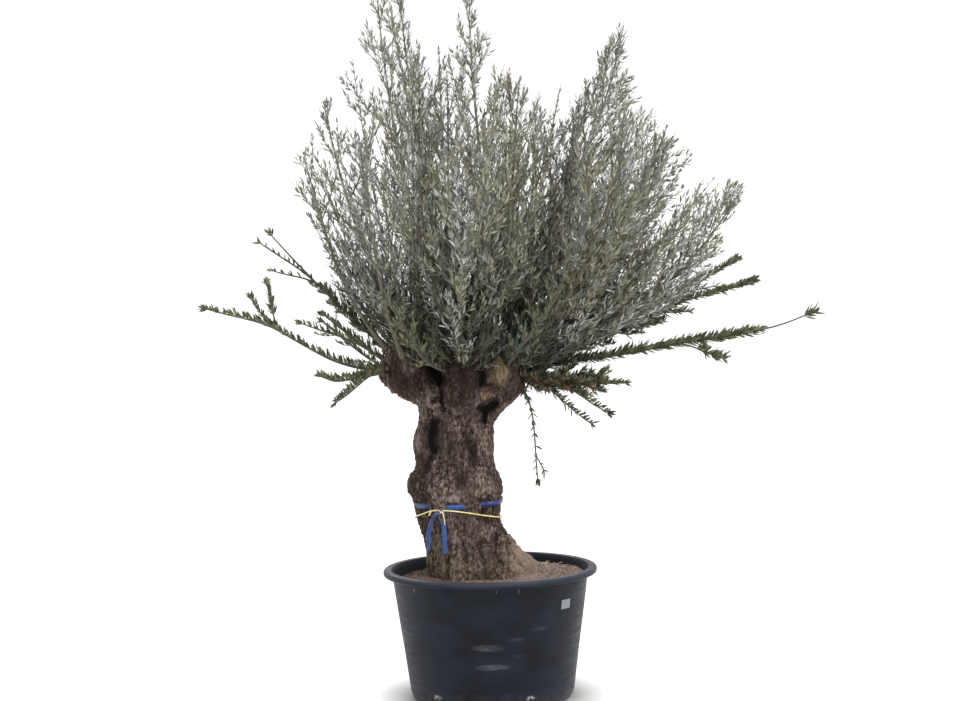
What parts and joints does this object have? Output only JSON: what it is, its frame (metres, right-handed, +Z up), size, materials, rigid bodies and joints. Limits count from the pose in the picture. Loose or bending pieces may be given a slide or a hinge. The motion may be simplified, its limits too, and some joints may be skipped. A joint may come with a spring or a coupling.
{
  "type": "potted olive bonsai tree",
  "caption": "Old olive tree with a short fat leaning trunk, knuckled heads and a tall feathery crown, standing in a round nursery container.",
  "frame": {"origin": "middle of the container's flat underside, where it stands on the ground", "axes": "+Z up the tree, -Y is the front and +X is to the right seen from the front"},
  "size_m": [2.85, 2.2804, 3.33],
  "materials": {
    "pot_plastic": "satin",
    "soil": "matte",
    "bark": "matte",
    "shoot_bark": "matte",
    "foliage": "matte",
    "ribbon": "satin",
    "label_paper": "matte"
  },
  "bodies": {
    "root": {"bough_front_inner": "shoot_bark", "bough_front_left": "shoot_bark", "bough_front_middle": "shoot_bark", "bough_front_right": "shoot_bark", "bough_left_outer": "shoot_bark", "bough_left_tall": "shoot_bark", "bough_rear_inner": "shoot_bark", "bough_rear_left": "shoot_bark", "bough_rear_middle": "shoot_bark", "bough_rear_right": "shoot_bark", "bough_right_inner": "shoot_bark", "bough_right_mid": "shoot_bark", "bough_right_outer": "shoot_bark", "bough_top_inner": "shoot_bark", "bough_top_left": "shoot_bark", "bough_top_middle": "shoot_bark", "bough_top_right": "shoot_bark", "foliage_front_inner": "foliage", "foliage_front_left": "foliage", "foliage_front_middle": "foliage", "foliage_front_right": "foliage", "foliage_left_outer": "foliage", "foliage_left_tall": "foliage", "foliage_rear_inner": "foliage", "foliage_rear_left": "foliage", "foliage_rear_middle": "foliage", "foliage_rear_right": "foliage", "foliage_right_inner": "foliage", "foliage_right_mid": "foliage", "foliage_right_outer": "foliage", "foliage_top_inner": "foliage", "foliage_top_left": "foliage", "foliage_top_middle": "foliage", "foliage_top_right": "foliage", "head_centre": "bark", "head_left": "bark", "head_rear": "bark", "head_right": "bark", "label": "label_paper", "pot": "pot_plastic", "soil": "soil", "spray_far_left": "foliage", "spray_far_right": "foliage", "spray_front_low_left": "foliage", "spray_front_low_right": "foliage", "spray_hanging": "foliage", "spray_low_left": "foliage", "spray_low_right": "foliage", "spray_rear_low": "foliage", "spray_rear_low_left": "foliage", "spray_rear_low_right": "foliage", "spray_right_rear": "foliage", "spray_right_shelf": "foliage", "spray_short_left": "foliage", "spray_upper_left": "foliage", "tie": "ribbon", "trunk": "bark"}
  },
  "joints": []
}
